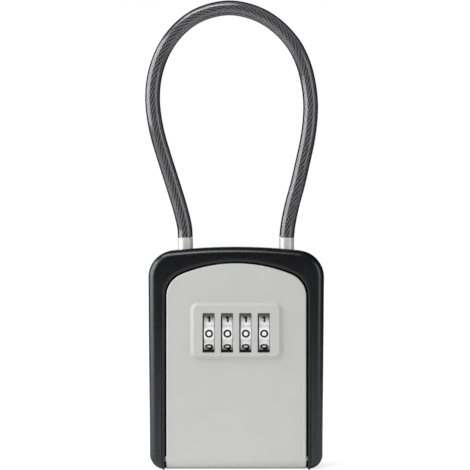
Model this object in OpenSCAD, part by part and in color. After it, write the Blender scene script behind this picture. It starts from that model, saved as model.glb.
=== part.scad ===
// Combination key safe with a cable loop: a grey front with four number dials, hinged at its foot
// on a black body, and a coated wire rope whose ends lock into the top of the body.
// X is to the right, Y is to the back and Z is up. The origin is on the standing surface, below
// the middle of the body. All sizes are in millimetres.

/* [Body] */
// Width of the body at the shoulders
body_w = 91.8; // [86:0.2:110]
// Width of the body at the foot
body_foot_w = 90.2; // [84:0.2:108]
// Height of the body
body_h = 116; // [112:0.5:124]
// Depth of the body without the front
body_d = 38; // [37:0.5:50]
// Radius of the curve along the top of the body
body_arch_r = 310; // [200:10:500]
// Radius of the upper corners of the body
body_corner_r = 14; // [12:0.5:18]
// Radius of the lower corners of the body
body_foot_r = 7.5; // [5:0.5:10]
// Rounding of the outer edges of the body
body_edge_r = 3; // [2:0.5:4]
// Wall of the outer shell
shell_wall = 2.5; // [2:0.1:3]
// Thickness of the face that frames the front
shell_face_t = 3; // [2.5:0.1:4]
// Wall of the inner case
case_wall = 1.2; // [1:0.1:1.6]
// Thickness of the back of the case
case_back_t = 2; // [1.5:0.1:3]

/* [Front] */
// Width of the front
door_w = 72.8; // [70:0.2:76]
// Height of the body's frame above the front
top_border = 8.5; // [7:0.5:10]
// Radius of the arched top of the front
door_arch_r = 75; // [70:1:85]
// Radius of the upper corners of the front
door_corner_r = 12.5; // [11:0.5:14]
// Thickness of the front's plate
door_t = 2.4; // [2:0.1:3]
// Rounding of the edge of the front
door_edge_r = 1.2; // [0.8:0.1:1.6]
// How far the front stands out of the body
door_proud = 1; // [0.5:0.1:2]
// Gap between the front and the case
door_gap = 1; // [0.8:0.1:1.5]
// Radius of the round foot of the front, round its hinge pin
barrel_r = 5; // [4.5:0.1:5.5]
// Diameter of the hinge pin
hinge_pin_d = 3; // [2.5:0.1:3.5]

/* [Dials] */
// Number of dials
dial_count = 4; // [3:1:4]
// Distance from one dial to the next
dial_pitch = 9.56; // [9.4:0.02:9.8]
// Width of a dial
dial_w = 5.5; // [5:0.1:5.8]
// Radius of a dial over its number faces
dial_r = 12.35; // [11.8:0.05:12.6]
// Depth of the grooves between the numbers
groove_depth = 0.8; // [0.4:0.1:1]
// Distance of the dials' axis below the top of the front
dial_drop = 36.5; // [35.5:0.5:38.5]
// How far the dials lie behind the raised pad
dial_recess = 0.5; // [0:0.1:1]
// How far the dials sit to the right in their windows
dial_shift = 0.15; // [0:0.05:0.2]
// Width of a window
window_w = 6.2; // [6.1:0.1:6.6]
// Height of a window
window_h = 20.5; // [19:0.1:21]
// Width of the raised pad round the windows
pad_w = 47.9; // [45:0.1:50]
// Height of the raised pad
pad_h = 29.5; // [28:0.1:32]
// How far the raised pad stands out
pad_t = 1.6; // [1:0.1:2]
// Corner radius of the raised pad
pad_corner_r = 4; // [3:0.5:5]
// Width of the sloped edge of the raised pad
pad_slope = 2.6; // [1:0.1:2.7]
// How far the middle of the pad lies above that of the windows
pad_rise = 1; // [0:0.1:1.2]

/* [Lock] */
// Radius of the tumblers' gated discs
tumbler_r = 8.5; // [8.4:0.1:8.6]
// Thickness of a gated disc
tumbler_t = 1.8; // [1.6:0.1:2]
// Diameter of the dials' shaft
shaft_d = 4; // [3.5:0.1:4.5]
// Travel of the release button and of the latch
latch_travel = 4; // [3.5:0.1:4]
// How far the latch reaches behind its keepers
latch_hold = 3.2; // [2.8:0.1:3.3]
// Sideways travel of the tumblers for a change of code
code_shift = 1; // [0.9:0.05:1]
// Diameter of the release button
button_d = 12; // [10:0.5:13]

/* [Cable] */
// Diameter of the coated cable and of its ferrules
cable_d = 8; // [7:0.1:8]
// Distance of a ferrule's middle from the side of the body
ferrule_inset = 18.9; // [17.9:0.1:20.9]
// Height of the ferrules above the body
ferrule_out = 6; // [5:0.5:8]
// Depth of the ferrules in the body
ferrule_in = 13; // [12:0.5:14]
// Distance of the cable in front of the back
cable_from_back = 10.3; // [9:0.1:11]
// Travel of the bar that locks the cable
bar_travel = 7; // [6:0.5:7]

/* [Hidden] */
$fn = 64;

// Clearances
run = 0.05;          // round piece that turns or slides in its bore, on the radius
slip = 0.1;          // flat piece that slides beside another
seam = 0.1;          // between two pieces that are fitted together
free = 0.3;          // between pieces that pass each other
cut = 1;             // how far a cut runs past the face that it opens
sheet = 0.01;        // thickness of the slices that a hull joins
far = 60;            // half the length of a bore that runs through everything

// Planes across the depth, from the front to the back
total_d = body_d + door_proud + pad_t;
pad_y = -total_d / 2;
door_y = pad_y + pad_t;
shell_y = door_y + door_proud;
back_y = total_d / 2;
case_y = shell_y + 0.2;
back_in_y = back_y - case_back_t;
hinge_y = door_y + barrel_r;
hinge_z = barrel_r + 0.3;
door_in_y = door_y + door_t;

// Half the width of the body at a height
lean_z = body_h - body_corner_r - 2;     // the sides lean outwards up to here
function body_half(z) = (body_foot_w + (body_w - body_foot_w) * min(z / lean_z, 1)) / 2;

// The arched outline of the front and of the case
door_top = body_h - top_border;
arch_z = door_top - door_arch_r;
door_rim_t = 1.6;
door_rim_d = 2;
case_half = door_w / 2 + door_gap + case_wall;

// The dials
axis_y = pad_y + dial_recess + dial_r;
dial_z = door_top - dial_drop;
number_count = 10;
number_step = 360 / number_count;
groove_out = 0.7;        // the grooves' middle lines lie this far outside the dial
window_z = dial_z + 0.4;
function dial_x(i) = (i - (dial_count - 1) / 2) * dial_pitch + dial_shift;
function window_x(i) = (i - (dial_count - 1) / 2) * dial_pitch;

// The lock behind the front
frame_ends = 33.32;      // wider than from the first dial to the last
frame_w = (dial_count - 1) * dial_pitch + frame_ends;
frame_wall = 2;
boss_h = 1.8;
frame_below = 17;        // from the dials' axis down
frame_above = 26.5;
frame_z0 = dial_z - frame_below;
frame_z1 = dial_z + frame_above;
frame_y1 = axis_y + dial_r + 0.7;
cover_t = 1.4;
cover_y1 = frame_y1 + cover_t;
frame_y0 = door_in_y + boss_h;
frame_in = frame_w / 2 - frame_wall;
bearing_t = 1.6;
collar_room = 1.6;
bearing_x = dial_x(0) - dial_w / 2 - collar_room;     // the face of the shaft's left carrier
column_w = 5.4;
screw_d = 3;
screw_head_d = 5.4;
screw_head_t = 1.6;

// The tumblers
disc_x = dial_w / 2 + 1.5;        // from the middle of a dial to the middle of its disc
hub_x0 = 0.05 - dial_w / 2;       // from the middle of a dial to the start of its hub
hub_r = 8.1;
gate_r = 4.6;
gate_w = 3.2;
finger_w = 2.4;
finger_t = 1.2;
lug_h = 0.9;
lug_w = 2;
lug_t = 0.85;
lug_gap = 0.15;
hub_t = 2.4;
neck_disc_r = 4.4;       // between the hub and the disc
tail_r = 3.4;            // reaches to the next tumbler

// The latch
slide_t = 3;
slide_gap = 0.65;
slide_h = 6.5;
slide_z0 = dial_z + dial_r + latch_travel + slide_gap;
slide_z1 = slide_z0 + slide_h;
slide_left = -25.4;
screw_places = [
    for (side = [-1, 1])
        for (z = [frame_z0 + column_w / 2, slide_z0 - latch_travel - 0.5 - column_w / 2])
            [side * (frame_w - column_w) / 2, z]
];
keeper_z = frame_z1 + 3;
bolt_top = keeper_z + latch_hold;
bolt_w = 5;
bolt_x = 14;
keeper_y1 = axis_y - slide_t / 2 - free;
keeper_t = 2.5;
keeper_h = 12;
ramp_x = 35.8;
ramp_h = 4.3;
nose_gap = free * sqrt(2);
button_h = 5;
button_z = slide_z1 - button_h / 2 - 0.5;
button_t = shell_wall - 0.3;
clip_t = 0.5;
clip_h = 9;
button_side = min(body_half(button_z - clip_h / 2), body_half(button_z + clip_h / 2));
button_x = button_side - 0.4;
spring_room = 9.4;
shelf_z = slide_z0 - spring_room;
shelf_t = 1.2;
shelf_d = 7;
post_r = 1.1;
post_h = 2;
shelf_x = 20.9;
latch_spring_x = 23.2;

// The shaft of the dials and the lever that shifts it
shaft_left = bearing_x - bearing_t - code_shift - 0.2;
shaft_right = frame_w / 2 - code_shift - 0.2;
cam_r = 3.5;
cam_off = code_shift / 2;
reset_x = shaft_left - cam_r + cam_off - slip;
lever_r = 2;
lever_t = 1.3;
lever_head_r = 3.2;
lever_arm_w = 2.8;
lever_arm_l = 7.5;
cam_t = 6;

// The screws that hold the shell to the case, beside the case on both sides
shell_screw_heights = [12, body_h / 2, body_h - 17];
function shell_screw_x(z) = max(case_half + 1.6, body_half(z) - shell_wall - 2.5);
shell_screw_d = 2.3;
shell_head_d = 4.4;
shell_head_t = 1.2;
shell_boss_r = 2.6;
shell_screw_l = 9;       // in the shell's boss
shell_bore_l = 12;

// The cable and its lock
cable_y = back_y - cable_from_back;
ferrule_r = cable_d / 2;
ferrule_x = body_w / 2 - ferrule_inset;
top_drop = 1.1;          // of the arched top at the ferrules
ferrule_foot = body_h - top_drop - ferrule_in;
ferrule_top = body_h - top_drop + ferrule_out;
ferrule_bevel = 0.6;
ferrule_lip = 0.3;
bar_z = body_h - 9.5;
bar_t = 1.5;
bar_w = 13;
bar_hold = 0.8;
neck_r = ferrule_r - 1.1;
neck_below = 2.2;        // the neck starts this far below the bar
bar_end = 2.2;
slot_r = ferrule_r + free;
slot_x = slot_r - ferrule_r + bar_hold;
slot_len = bar_travel - slot_x;
bar_left = -ferrule_x + slot_x - slot_r - bar_end;
bar_right = ferrule_x + bar_travel + slot_r + bar_end - 0.5;
bar_y = cable_y - bar_w / 2;
tab_w = 10;
tab_h = 6;
tab_y = bar_y - 3;
tab_t = 4.5;
anchor_x = -18;
anchor_t = 2;
socket_wall = 2.2;
socket_r = ferrule_r + socket_wall;
socket_h = 30;           // cut off by the body's outline
socket_z = bar_z - 8.3;

// The middle line of the cable, as seen from the front: [x, z]
cable_route = [
    [-27, 121], [-27.5, 127], [-29.5, 135.5], [-32.5, 145.5], [-36, 156.5],
    [-39, 166], [-41.5, 174.5], [-43.5, 184], [-44.5, 194], [-44, 203.5],
    [-42, 212.5], [-38, 222], [-31.5, 231], [-23, 238], [-13.5, 242],
    [-3.5, 243.5], [6.5, 242], [16, 238], [24.5, 231.5], [31.5, 223],
    [36, 213.5], [38.5, 204], [39.8, 193.5], [39.5, 183], [38, 172],
    [35.5, 160.5], [33, 149.5], [30, 138.5], [27.9, 128.5], [27, 121]
];
cable_sides = 12;

// Outlines, seen from the front

// Rounded trapezium under a wide arch, drawn in by inset
module body_outline(inset) {
    offset(r = -inset)
        offset(r = body_corner_r)
            offset(r = -body_corner_r)
                intersection() {
                    translate([0, body_h - body_arch_r])
                        circle(body_arch_r, $fn = 720);
                    polygon([
                        [-body_foot_w / 2, 0], [body_foot_w / 2, 0],
                        [body_w / 2, lean_z], [body_w / 2, body_h + cut],
                        [-body_w / 2, body_h + cut], [-body_w / 2, lean_z]
                    ]);
                }
}

// The body's outline with its smaller lower corners
module body_shape(inset) {
    body_outline(inset);
    offset(r = -inset)
        offset(r = body_foot_r)
            offset(r = -body_foot_r)
                polygon([
                    [-body_foot_w / 2, 0], [body_foot_w / 2, 0],
                    [body_w / 2, lean_z], [body_w / 2, lean_z + 2 - body_corner_r],
                    [-body_w / 2, lean_z + 2 - body_corner_r], [-body_w / 2, lean_z]
                ]);
}

// Straight sides under an arch with round corners, grown by grow, from the height foot up
module arch_shape(grow, foot) {
    intersection() {
        offset(r = grow)
            offset(r = door_corner_r)
                offset(r = -door_corner_r)
                    intersection() {
                        translate([0, arch_z])
                            circle(door_arch_r, $fn = 360);
                        translate([-door_w / 2, -far])
                            square([door_w, door_top + far + cut]);
                    }
        translate([-body_w, foot])
            square([2 * body_w, body_h + cut]);
    }
}

// Stands a flat outline up between two planes of the depth
module upright(y0, y1) {
    translate([0, y1, 0])
        rotate([90, 0, 0])
            linear_extrude(y1 - y0)
                children();
}

// Round rod along Y between two planes
module rod_y(r, y0, y1) {
    translate([0, y1, 0])
        rotate([90, 0, 0])
            cylinder(r = r, h = y1 - y0);
}

// Round rod along X
module rod_x(r, x0, x1) {
    translate([x0, 0, 0])
        rotate([0, 90, 0])
            cylinder(r = r, h = x1 - x0);
}

// Cross for a screwdriver
module driver_cross(length, width) {
    square([length, width], center = true);
    square([width, length], center = true);
}

// Springs: one wire of six sides that follows a helix along Z, with flat end turns left out
spring_rings = 8;
spring_sides = 6;

function spring_point(coil_r, length, turns, i) =
    let(a = 360 * i / spring_rings, n = turns * spring_rings)
        [coil_r * cos(a), coil_r * sin(a), length * i / n];

function spring_ring(coil_r, wire_r, length, turns, i) =
    let(
        a = 360 * i / spring_rings,
        c = spring_point(coil_r, length, turns, i),
        rise = atan2(length / turns, 360 * coil_r * PI / 180),
        out = [cos(a), sin(a), 0],
        up = [sin(a) * sin(rise), -cos(a) * sin(rise), cos(rise)]
    )
        [for (k = [0 : spring_sides - 1])
            let(b = 360 * k / spring_sides)
                c + wire_r * (cos(b) * out + sin(b) * up)];

module spring_wire(coil_r, wire_r, length, turns) {
    last = turns * spring_rings;
    points = [for (i = [0 : last]) each spring_ring(coil_r, wire_r, length, turns, i)];
    sides = [for (i = [0 : last - 1]) for (k = [0 : spring_sides - 1])
        let(
            a = i * spring_sides + k,
            b = i * spring_sides + (k + 1) % spring_sides
        )
            each [[a, b, b + spring_sides], [a, b + spring_sides, a + spring_sides]]];
    first_cap = [for (k = [1 : spring_sides - 2]) [0, k + 1, k]];
    start = last * spring_sides;
    last_cap = [for (k = [1 : spring_sides - 2]) [start, start + k, start + k + 1]];
    echo(spring_gap = length / turns - 2 * wire_r);
    polyhedron(points, concat([for (f = sides) [f[0], f[2], f[1]]],
        [for (f = first_cap) [f[0], f[2], f[1]]],
        [for (f = last_cap) [f[0], f[2], f[1]]]));
}

// Body

// One child at each screw of the shell
module shell_screw_holders() {
    for (side = [-1, 1])
        for (z = shell_screw_heights)
            translate([side * shell_screw_x(z), 0, z])
                children();
}

module outer_shell() {
    color([0.13, 0.13, 0.14])
        difference() {
            union() {
                difference() {
                    hull() {
                        upright(shell_y, shell_y + sheet) body_shape(body_edge_r);
                        upright(shell_y + 0.13 * body_edge_r, shell_y + 0.14 * body_edge_r)
                            body_shape(0.5 * body_edge_r);
                        upright(shell_y + 0.5 * body_edge_r, shell_y + 0.51 * body_edge_r)
                            body_shape(0.13 * body_edge_r);
                        upright(shell_y + body_edge_r, back_y - 1)
                            body_shape(0);
                        upright(back_y - sheet, back_y) body_shape(1);
                    }
                    upright(shell_y + shell_face_t, back_y + cut)
                        body_shape(shell_wall);
                }
                intersection() {
                    shell_screw_holders()
                        rod_y(shell_boss_r, shell_y + shell_face_t - seam, back_in_y);
                    upright(shell_y, back_y) body_shape(shell_wall / 2);
                }
            }
            // The opening that the case and the front fill
            upright(shell_y - cut, back_y + cut)
                arch_shape(door_gap + case_wall + seam, -cut);
            // The ferrules and the button pass through it
            for (side = [-1, 1])
                translate([side * ferrule_x, cable_y, socket_z])
                    cylinder(r = ferrule_r + run, h = socket_h);
            translate([0, axis_y, button_z])
                rod_x(button_d / 2 + slip, body_w / 2 - 3 * shell_wall, far);
            shell_screw_holders() {
                rod_y(shell_screw_d / 2, back_in_y - shell_bore_l, back_y + cut);
                rod_y(shell_head_d / 2 + 0.2, back_y - shell_head_t - slip, back_y + cut);
            }
        }
}

module body_case() {
    color([0.2, 0.2, 0.21])
        difference() {
            union() {
                difference() {
                    upright(case_y, back_y - seam)
                        arch_shape(door_gap + case_wall, 0);
                    upright(case_y - cut, back_in_y)
                        arch_shape(door_gap, case_wall);
                    // The round foot of the front turns here
                    translate([-door_w / 2 - door_gap, case_y - cut, -cut])
                        cube([
                            door_w + 2 * door_gap,
                            hinge_y + barrel_r + free - case_y + cut,
                            case_wall + 2 * cut
                        ]);
                }
                // Back plate, let into the shell
                upright(back_in_y, back_y) body_shape(shell_wall + seam);
                // Sockets of the ferrules
                intersection() {
                    for (side = [-1, 1])
                        translate([side * ferrule_x, cable_y, socket_z]) {
                            cylinder(r = socket_r, h = socket_h);
                            translate([-socket_r, 0, 0])
                                cube([2 * socket_r, back_y - cable_y - cut, socket_h]);
                        }
                    upright(case_y, back_y) body_shape(shell_wall + seam);
                }
                // Keepers of the latch, and the lug behind the lock bar's spring
                intersection() {
                    union() {
                        for (side = [-1, 1])
                            translate([
                                side * bolt_x - bolt_w / 2 - 1,
                                keeper_y1 - keeper_t,
                                keeper_z
                            ])
                                cube([bolt_w + 2, keeper_t, keeper_h]);
                        translate([anchor_x - anchor_t, tab_y, bar_z - tab_h])
                            cube([anchor_t, tab_t, keeper_h]);
                    }
                    upright(case_y, back_in_y)
                        arch_shape(door_gap + case_wall / 2, 0);
                }
            }
            for (side = [-1, 1])
                translate([side * ferrule_x, cable_y, socket_z - cut])
                    cylinder(r = ferrule_r + run, h = socket_h);
            // The lock bar runs through both sockets
            translate([bar_left - bar_travel - 1, bar_y - slip, bar_z - slip])
                cube([
                    bar_right - bar_left + bar_travel + 2,
                    bar_w + 2 * slip,
                    bar_t + 2 * slip
                ]);
            // Hinge pin and release button
            translate([0, hinge_y, hinge_z])
                rod_x(hinge_pin_d / 2, -far, far);
            translate([0, axis_y - button_h / 2 - slip, button_z - button_h / 2 - slip])
                cube([far, button_h + 2 * slip, button_h + 2 * slip]);
            // The screws and their heads
            shell_screw_holders() {
                rod_y(shell_screw_d / 2 + 0.2, back_in_y - cut, back_y + cut);
                rod_y(shell_head_d / 2 + 0.2, back_y - shell_head_t - slip, back_y + cut);
            }
        }
}

module shell_screws() {
    color([0.6, 0.6, 0.62])
        shell_screw_holders()
            difference() {
                union() {
                    rod_y(shell_screw_d / 2, back_in_y - shell_screw_l, back_y - shell_head_t);
                    rod_y(shell_head_d / 2, back_y - shell_head_t, back_y - slip);
                }
                upright(back_y - 0.7, back_y + cut)
                    driver_cross(2.6, 0.6);
            }
}

module hinge_pin() {
    color([0.75, 0.75, 0.77])
        translate([0, hinge_y, hinge_z])
            rod_x(hinge_pin_d / 2, -case_half, case_half);
}

// Cable and its lock

module ferrule(x) {
    color([0.8, 0.8, 0.82])
        translate([x, cable_y, 0])
            rotate_extrude()
                polygon([
                    [0, ferrule_foot], [ferrule_r - ferrule_bevel, ferrule_foot],
                    [ferrule_r, ferrule_foot + ferrule_bevel], [ferrule_r, bar_z - neck_below],
                    [neck_r, bar_z - neck_below], [neck_r, bar_z + bar_t + free],
                    [ferrule_r, bar_z + bar_t + free], [ferrule_r, ferrule_top - ferrule_lip],
                    [ferrule_r - ferrule_lip, ferrule_top], [0, ferrule_top]
                ]);
}

module cable_lock_bar() {
    color([0.7, 0.7, 0.72])
        difference() {
            union() {
                translate([bar_left, bar_y, bar_z])
                    cube([bar_right - bar_left, bar_w, bar_t]);
                // Finger tab in the key space
                translate([-tab_w / 2, tab_y, bar_z - tab_h])
                    cube([tab_w, tab_t, tab_h + bar_t / 2]);
            }
            for (side = [-1, 1])
                for (step = [0, slot_len])
                    translate([
                        side * ferrule_x + slot_x + step,
                        cable_y,
                        bar_z - cut
                    ])
                        cylinder(r = slot_r, h = bar_t + 2 * cut);
            for (side = [-1, 1])
                translate([
                    side * ferrule_x + slot_x,
                    cable_y - slot_r,
                    bar_z - cut
                ])
                    cube([slot_len, 2 * slot_r, bar_t + 2 * cut]);
        }
}

module lock_bar_spring() {
    color([0.6, 0.6, 0.62])
        translate([anchor_x + free, tab_y + tab_t / 2, bar_z - 3.4])
            rotate([0, 90, 0])
                spring_wire(1.8, 0.25, -tab_w / 2 - anchor_x - 2 * free, 7);
}

module ferrule_left() {
    ferrule(-ferrule_x);
}

module ferrule_right() {
    ferrule(ferrule_x);
}

// The direction of the cable at a point of its route
function cable_way(i) =
    i == 0 || i == len(cable_route) - 1
        ? [0, i == 0 ? 1 : -1]
        : let(d = cable_route[i + 1] - cable_route[i - 1]) d / norm(d);

// Corners of the cable round a point of its route
function cable_ring(i) =
    let(d = cable_way(i))
        [for (k = [0 : cable_sides - 1])
            let(
                a = 360 * k / cable_sides,
                across = cable_d / 2 * cos(a),
                back = cable_d / 2 * sin(a)
            )
                [
                    cable_route[i][0] + across * d[1],
                    cable_y + back,
                    (i == 0 || i == len(cable_route) - 1 ? ferrule_top : cable_route[i][1])
                        - across * d[0]
                ]];

module cable() {
    last = len(cable_route) - 1;
    points = [for (i = [0 : last]) each cable_ring(i)];
    sides = [for (i = [0 : last - 1]) for (k = [0 : cable_sides - 1])
        let(
            a = i * cable_sides + k,
            b = i * cable_sides + (k + 1) % cable_sides
        )
            each [[a, b, b + cable_sides], [a, b + cable_sides, a + cable_sides]]];
    start = last * cable_sides;
    caps = concat(
        [for (k = [1 : cable_sides - 2]) [0, k + 1, k]],
        [for (k = [1 : cable_sides - 2]) [start, start + k, start + k + 1]]
    );
    color([0.25, 0.25, 0.26])
        polyhedron(points, concat(sides, caps));
}

// Front

module pad_outline(inset) {
    translate([0, window_z + pad_rise])
        offset(r = pad_corner_r - inset)
            square([pad_w - 2 * pad_corner_r, pad_h - 2 * pad_corner_r], center = true);
}

module door_panel() {
    color([0.78, 0.78, 0.76])
        difference() {
            union() {
                difference() {
                    hull() {
                        upright(door_y, door_y + sheet)
                            arch_shape(-door_edge_r, hinge_z);
                        upright(door_y + 0.3 * door_edge_r, door_y + 0.31 * door_edge_r)
                            arch_shape(-0.3 * door_edge_r, hinge_z);
                        upright(door_y + door_edge_r, door_in_y + door_rim_d)
                            arch_shape(0, hinge_z);
                    }
                    upright(door_in_y, door_in_y + door_rim_d + cut)
                        arch_shape(-door_rim_t, hinge_z - cut);
                }
                // Round foot on the hinge pin
                intersection() {
                    translate([0, hinge_y, hinge_z])
                        rod_x(barrel_r, -door_w / 2, door_w / 2);
                    translate([-door_w / 2, door_y, 0])
                        cube([door_w, 2 * barrel_r, 2 * barrel_r + 1]);
                }
                // Raised pad round the windows
                hull() {
                    upright(pad_y, pad_y + sheet)
                        pad_outline(pad_slope);
                    upright(pad_y + 0.3 * pad_t, pad_y + 0.31 * pad_t)
                        pad_outline(0.4 * pad_slope);
                    upright(pad_y + pad_t, door_y + 0.5)
                        pad_outline(0);
                }
                // Bosses that carry the lock
                for (place = screw_places)
                    translate([place[0], 0, place[1]])
                        rod_y(column_w / 2, door_in_y - seam, frame_y0);
            }
            for (i = [0 : dial_count - 1])
                translate([
                    window_x(i) - window_w / 2,
                    pad_y - cut,
                    window_z - window_h / 2
                ])
                    cube([window_w, pad_t + door_t + 2 * cut, window_h]);
            // The dials turn in hollows behind the windows
            for (i = [0 : dial_count - 1])
                translate([0, axis_y, dial_z])
                    rod_x(dial_r + 0.35, dial_x(i) - dial_w / 2 - 0.15, dial_x(i) + dial_w / 2 + 0.15);
            translate([0, hinge_y, hinge_z])
                rod_x(hinge_pin_d / 2 + run, -far, far);
            for (place = screw_places)
                translate([place[0], 0, place[1]])
                    rod_y(screw_d / 2 - run, door_y + 1, frame_y0 + cut);
        }
}

module lock_frame() {
    color([0.16, 0.16, 0.17])
        difference() {
            union() {
                difference() {
                    upright(frame_y0, frame_y1)
                        translate([-frame_w / 2, frame_z0])
                            square([frame_w, frame_z1 - frame_z0]);
                    upright(frame_y0 - cut, frame_y1 + cut)
                        translate([-frame_in, frame_z0 + frame_wall])
                            square([2 * frame_in, frame_z1 - frame_z0 - 2 * frame_wall]);
                }
                // Columns for the screws
                for (place = screw_places)
                    upright(frame_y0, frame_y1)
                        translate(place)
                            square(column_w, center = true);
                // Wall that carries the left end of the shaft
                upright(frame_y0, frame_y1)
                    translate([bearing_x - bearing_t, frame_z0 + 1])
                        square([bearing_t, shelf_z - frame_z0 - 1]);
                // Shelves and posts under the latch's springs
                for (side = [-1, 1]) {
                    translate([
                        side * (shelf_x + frame_in + cut) / 2 - (frame_in + cut - shelf_x) / 2,
                        axis_y - shelf_d / 2,
                        shelf_z - shelf_t
                    ])
                        cube([frame_in + cut - shelf_x, shelf_d, shelf_t]);
                    translate([side * latch_spring_x, axis_y, shelf_z - shelf_t])
                        cylinder(r = post_r, h = shelf_t + post_h);
                }
            }
            translate([0, axis_y, dial_z])
                rod_x(shaft_d / 2 + run, bearing_x - bearing_t - cut, frame_w / 2 + cut);
            // Latch bolts in the top wall
            for (side = [-1, 1])
                translate([
                    side * bolt_x - bolt_w / 2 - slip,
                    axis_y - slide_t / 2 - slip,
                    frame_z1 - frame_wall - cut
                ])
                    cube([bolt_w + 2 * slip, slide_t + 2 * slip, frame_wall + 2 * cut]);
            // The latch's ramp leaves on the right
            translate([
                frame_in - cut,
                axis_y - button_h / 2 - free,
                slide_z0 - latch_travel - free
            ])
                cube([
                    frame_wall + 2 * cut,
                    button_h + 2 * free,
                    slide_z1 - slide_z0 + latch_travel + 2 * free
                ]);
            for (place = screw_places)
                translate([place[0], 0, place[1]])
                    rod_y(screw_d / 2 + 0.2, frame_y0 - cut, frame_y1 + cut);
        }
}

module lock_cover() {
    color([0.16, 0.16, 0.17])
        difference() {
            upright(frame_y1, cover_y1)
                translate([-frame_w / 2, frame_z0])
                    square([frame_w, frame_z1 - frame_z0]);
            translate([reset_x, 0, dial_z])
                rod_y(lever_r + run, frame_y1 - cut, cover_y1 + cut);
            for (place = screw_places)
                translate([place[0], 0, place[1]])
                    rod_y(screw_d / 2 + 0.2, frame_y1 - cut, cover_y1 + cut);
        }
}

module cover_screws() {
    color([0.65, 0.65, 0.67])
        for (place = screw_places)
            translate([place[0], 0, place[1]])
                difference() {
                    union() {
                        rod_y(screw_d / 2 - run, door_y + 1.4, cover_y1 + 0.5);
                        rod_y(screw_head_d / 2 - slip, cover_y1, cover_y1 + screw_head_t);
                    }
                    upright(cover_y1 + screw_head_t / 2, cover_y1 + screw_head_t + cut)
                        driver_cross(3, 0.7);
                }
}

module detent_spring() {
    leaf_t = 0.4;
    leaf_w = 3;
    leaf_tilt = 9;
    strip_d = 4;
    leaf_y = frame_y1 - strip_d + 1;
    color([0.7, 0.68, 0.6]) {
        translate([dial_x(0) - leaf_w, frame_y1 - strip_d, frame_z0 + frame_wall])
            cube([dial_x(dial_count - 1) - dial_x(0) + 2 * leaf_w, strip_d - 4 * slip, leaf_t]);
        for (i = [0 : dial_count - 1])
            translate([dial_x(i) - leaf_w / 2, leaf_y, frame_z0 + frame_wall + leaf_t / 2])
                rotate([-leaf_tilt, 0, 0])
                    mirror([0, 1, 0])
                        cube([leaf_w, leaf_y - axis_y, leaf_t]);
    }
}

// Lock parts that move

module latch_slide() {
    finger_z = dial_z + tumbler_r + 0.5;
    color([0.72, 0.72, 0.74])
        union() {
            upright(axis_y - slide_t / 2, axis_y + slide_t / 2)
                polygon([
                    [slide_left, slide_z0], [ramp_x, slide_z0],
                    [ramp_x, slide_z1 - ramp_h], [ramp_x - ramp_h, slide_z1],
                    [slide_left, slide_z1]
                ]);
            for (side = [-1, 1])
                translate([side * bolt_x - bolt_w / 2, axis_y - slide_t / 2, slide_z1 - cut])
                    cube([bolt_w, slide_t, bolt_top - slide_z1 + cut]);
            // Fence fingers over the gates
            for (i = [0 : dial_count - 1])
                translate([dial_x(i) + disc_x - finger_t / 2, axis_y - finger_w / 2, finger_z])
                    cube([finger_t, finger_w, slide_z0 - finger_z + cut]);
        }
}

module latch_spring(x) {
    color([0.6, 0.6, 0.62])
        translate([x, axis_y, shelf_z + free])
            spring_wire(1.9, 0.25, slide_z0 - shelf_z - 2 * free, 6);
}

module latch_spring_left() {
    latch_spring(-latch_spring_x);
}

module latch_spring_right() {
    latch_spring(latch_spring_x);
}

module release_button() {
    nose_sum = ramp_x + slide_z1 - ramp_h + nose_gap;
    button_top = button_z + button_h / 2;
    button_foot = button_z - button_h / 2;
    color([0.13, 0.13, 0.14])
        union() {
            translate([0, axis_y, button_z])
                rod_x(button_d / 2, button_x - button_t, button_x);
            upright(axis_y - button_h / 2, axis_y + button_h / 2)
                polygon([
                    [button_x - 1, button_foot], [button_x - 1, button_top],
                    [nose_sum - button_top, button_top], [nose_sum - button_foot, button_foot]
                ]);
        }
}

module button_clip() {
    color([0.6, 0.6, 0.62])
        translate([button_x - button_t - clip_t, axis_y, button_z])
            difference() {
                translate([0, -button_d / 2 - 1, -clip_h / 2])
                    cube([clip_t, button_d + 2, clip_h]);
                translate([-cut, -button_h / 2, -button_h / 2])
                    cube([clip_t + 2 * cut, button_h, button_h]);
            }
}

module reset_lever() {
    color([0.8, 0.35, 0.2])
        translate([reset_x, 0, dial_z]) {
            rod_y(lever_r, axis_y - cam_t / 2, cover_y1 + slip + lever_t);
            translate([-cam_off, 0, cam_off])
                rod_y(cam_r, axis_y - cam_t / 2, axis_y + cam_t / 2);
            upright(cover_y1 + slip, cover_y1 + slip + lever_t) {
                circle(lever_head_r);
                translate([-lever_arm_w / 2, 0])
                    square([lever_arm_w, lever_arm_l]);
            }
        }
}

module dial_shaft() {
    color([0.75, 0.75, 0.77])
        translate([0, axis_y, dial_z])
            rod_x(shaft_d / 2, shaft_left, shaft_right);
}

module shaft_clips() {
    collar_x = dial_x(0) + hub_x0 - slip;
    color([0.6, 0.6, 0.62])
        translate([0, axis_y, dial_z])
            difference() {
                rod_x(3.6, collar_x - 0.6, collar_x);
                rod_x(shaft_d / 2, -far, far);
            }
}

module shaft_spring() {
    x0 = dial_x(dial_count - 1) + hub_x0 + dial_pitch - slip + free;
    color([0.6, 0.6, 0.62])
        translate([x0, axis_y, dial_z])
            rotate([0, 90, 0])
                spring_wire(2.9, 0.25, frame_in - x0 - free, 5);
}

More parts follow.
